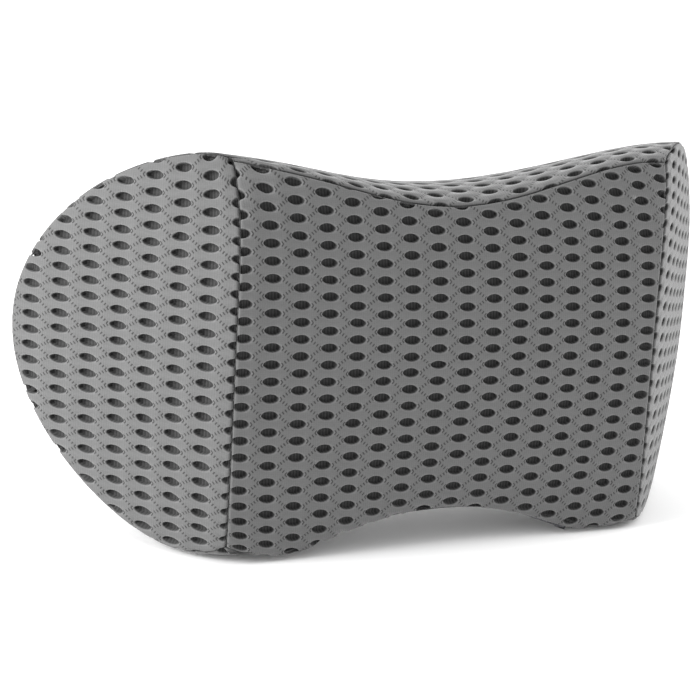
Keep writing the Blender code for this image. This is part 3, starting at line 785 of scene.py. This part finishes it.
tape_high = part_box("zipper_front_tape")[1]
rear_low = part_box("zipper_rear_tape")[0]
coil_low, coil_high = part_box("zipper_front_coil")
rear_coil_low, rear_coil_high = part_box("zipper_rear_coil")
ZIPPER_Y = (tape_high[1] + rear_low[1]) / 2
ZIPPER_PIVOT_Z = next(j for j in frame["joints"] if j["name"] == "zipper_travel")["pos_m"][2]
CHAIN_HALF = float(coil_high[0])
TAPE_TOP = float(tape_high[2])
TAPE_THICKNESS = 0.0005
ZIPPER_RADIUS = TAPE_TOP - TAPE_THICKNESS / 2 - ZIPPER_PIVOT_Z
TAPE_REACH = float(tape_high[0])
SKIN_INSIDE = 0.0035         # the tapes' ends tuck up this far inside the cloth


def zipper_line(x):
    """Height of the tapes' middle plane: an arc over the chain, then an ease up inside the cloth."""
    far = np.abs(x)
    on_arc = ZIPPER_PIVOT_Z + np.sqrt(ZIPPER_RADIUS ** 2 - np.minimum(far, CHAIN_HALF) ** 2)
    s = x / (FACE_WIDTH / 2 + ZIPPER_Y * math.tan(FLARE))
    sine = (ZIPPER_Y / END_WIDTH / math.cos(FLARE)) ** (1 / DEPTH_POWER)
    skin = half_round(s, np.pi - math.asin(sine))[..., 2] + SKIN_INSIDE
    ease = np.clip((far - CHAIN_HALF) / (TAPE_REACH - CHAIN_HALF), 0, 1)
    return on_arc + (skin - on_arc) * (3 * ease ** 2 - 2 * ease ** 3)


# Woven polyester tape, black, with ribs 2 mm apart.
TAPE_RIB = 0.00197
tape_material, tape_shader = new_material("woven_polyester_tape", "#1a1a1b", 0.8, Sheen_Weight=0.3)
place = node(tape_material, "ShaderNodeTexCoord").outputs["Object"]
weft = node(tape_material, "ShaderNodeTexWave", {"bands_direction": "X"}, Vector=place,
            Scale=1 / TAPE_RIB / BANDS_PER_UNIT, Distortion=2.0)
tape_bump = node(tape_material, "ShaderNodeBump", Height=weft.outputs["Fac"], Strength=0.6, Distance=0.0002)
tape_material.node_tree.links.new(tape_bump.outputs["Normal"], tape_shader.inputs["Normal"])
# Nylon 6 monofilament, black, smooth drawn wire.
coil_material = new_material("nylon_monofilament", "#202022", 0.35, IOR=1.53)[0]

x_run = np.linspace(-TAPE_REACH, TAPE_REACH, 121)
chain_x = np.linspace(-CHAIN_HALF, CHAIN_HALF, 1001)
COIL_PITCH = 0.0015
WIRE_RADIUS = 0.00024
COIL_BELOW = 0.0013          # the coils' middle line, under the tapes
FRONT_OUTER = SLOT_FRONT + 0.0006
REAR_OUTER = SLOT_REAR + 0.0012
FRONT_SEWN = 0.0016          # each line of stitches, in from its tape's outer edge
REAR_SEWN = -0.0024
SEWN_BELOW = 0.0004
SEWN_RADIUS = 0.0003
for name, inner, outer, sewn_in, coil_a, coil_b in (
        ("front", float(tape_high[1]), FRONT_OUTER, FRONT_SEWN, coil_low, coil_high),
        ("rear", float(rear_low[1]), REAR_OUTER, REAR_SEWN, rear_coil_low, rear_coil_high)):
    y_run = np.linspace(inner, outer, 5)
    strip = np.stack(np.broadcast_arrays(x_run[:, None], y_run[None, :], zipper_line(x_run)[:, None]),
                     axis=-1)
    tape = surface(f"zipper_{name}_tape_woven", strip, flip=name == "front")
    cloth = tape.modifiers.new("tape_thickness", "SOLIDIFY")
    cloth.thickness = TAPE_THICKNESS
    cloth.offset = 0
    tape.data.materials.append(tape_material)
    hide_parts(f"zipper_{name}_tape")

    half_wide = (coil_b[1] - coil_a[1]) / 2 - WIRE_RADIUS
    centre_y = (coil_b[1] + coil_a[1]) / 2
    turn = chain_x / COIL_PITCH * 2 * np.pi
    angle = np.arcsin(chain_x / ZIPPER_RADIUS)
    radial = ZIPPER_RADIUS - COIL_BELOW + half_wide * np.sin(turn)
    helix = np.stack([radial * np.sin(angle), centre_y + half_wide * np.cos(turn),
                      ZIPPER_PIVOT_Z + radial * np.cos(angle)], axis=-1)
    coil = bpy.data.curves.new(f"zipper_{name}_coil_spiral", "CURVE")
    coil.dimensions = "3D"
    coil.bevel_depth = WIRE_RADIUS
    coil.bevel_resolution = 1
    coil.use_fill_caps = True
    spline = coil.splines.new("POLY")
    spline.points.add(len(helix) - 1)
    spline.points.foreach_set("co", np.column_stack([helix, np.ones(len(helix))]).ravel())
    coil.materials.append(coil_material)
    spiral = bpy.data.objects.new(f"zipper_{name}_coil_spiral", coil)
    bpy.context.scene.collection.objects.link(spiral)
    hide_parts(f"zipper_{name}_coil")

    sewn_y = np.full(len(x_run), outer + sewn_in)
    sewn = np.stack([x_run, sewn_y, zipper_line(x_run) - SEWN_BELOW], axis=-1)
    sewing = stitched_thread(f"zipper_{name}_stitches", sewn, False, radius=SEWN_RADIUS)
    sewing.data.materials.append(yarn_material)
    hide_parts(f"zipper_{name}_stitching")
    for piece in (tape, spiral, sewing):
        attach(piece, "cushion")

# Zinc die casting under gunmetal paint: dark, satin, with worn brighter spots about 2 mm across.
metal, metal_shader = new_material("gunmetal_painted_zinc", "#4a4a4d", 0.38, Metallic=0.85)
place = node(metal, "ShaderNodeTexCoord").outputs["Object"]
wear = node(metal, "ShaderNodeTexNoise", Vector=place, Scale=1 / 0.002, Detail=4.0).outputs["Fac"]
worn = node(metal, "ShaderNodeMapRange", Value=wear, From_Min=0.5, From_Max=0.75).outputs[0]
paint = node(metal, "ShaderNodeMix", {"data_type": "RGBA"}, Factor=worn, i6=linear("#48484b"),
             i7=linear("#7d7d80")).outputs[2]
metal.node_tree.links.new(paint, metal_shader.inputs["Base Color"])
rough = node(metal, "ShaderNodeMapRange", Value=wear, To_Min=0.3, To_Max=0.5).outputs[0]
metal.node_tree.links.new(rough, metal_shader.inputs["Roughness"])
for node_name in ("zipper_slider", "zipper_pull", "zipper_front_top_stop", "zipper_rear_top_stop",
                  "zipper_bottom_stop"):
    part = frame["nodes"][node_name]
    part.data.materials.clear()
    part.data.materials.append(metal)

# ---- floor and light -----------------------------------------------------------------------------------
# A white sweep of studio paper under a soft light on the left, a weaker one on the right, and the
# weakest overhead; the front is left to the room's own light.

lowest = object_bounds()[0].z
FLOOR_REACH = 6.0
paper = new_material("studio_paper", "#fbfbfb", 0.9)[0]
edge = np.array([-FLOOR_REACH, FLOOR_REACH])
floor = surface("floor", np.stack(np.broadcast_arrays(edge[:, None], edge[None, :], lowest), axis=-1))
floor.data.materials.append(paper)

world = bpy.data.worlds.new("studio_room")
world.use_nodes = True
world.node_tree.nodes["Background"].inputs["Color"].default_value = linear("#ffffff")
world.node_tree.nodes["Background"].inputs["Strength"].default_value = 1.0
bpy.context.scene.world = world


def soft_light(name, place, aimed, width, power):
    """A square area light at a place, aimed at a point."""
    lamp = bpy.data.lights.new(name, "AREA")
    lamp.size = width
    lamp.energy = power
    light = bpy.data.objects.new(name, lamp)
    bpy.context.scene.collection.objects.link(light)
    light.location = place
    light.rotation_euler = (Vector(aimed) - Vector(place)).to_track_quat("-Z", "Y").to_euler()


soft_light("left_light", (-1.5, 0.0, 0.5), (0, 0.04, 0), 0.9, 36)
soft_light("right_light", (1.5, 0.0, 0.5), (0, 0.04, 0), 0.9, 15)
soft_light("top_light", (0, 0.5, 1.6), (0, 0.04, 0), 1.0, 9)
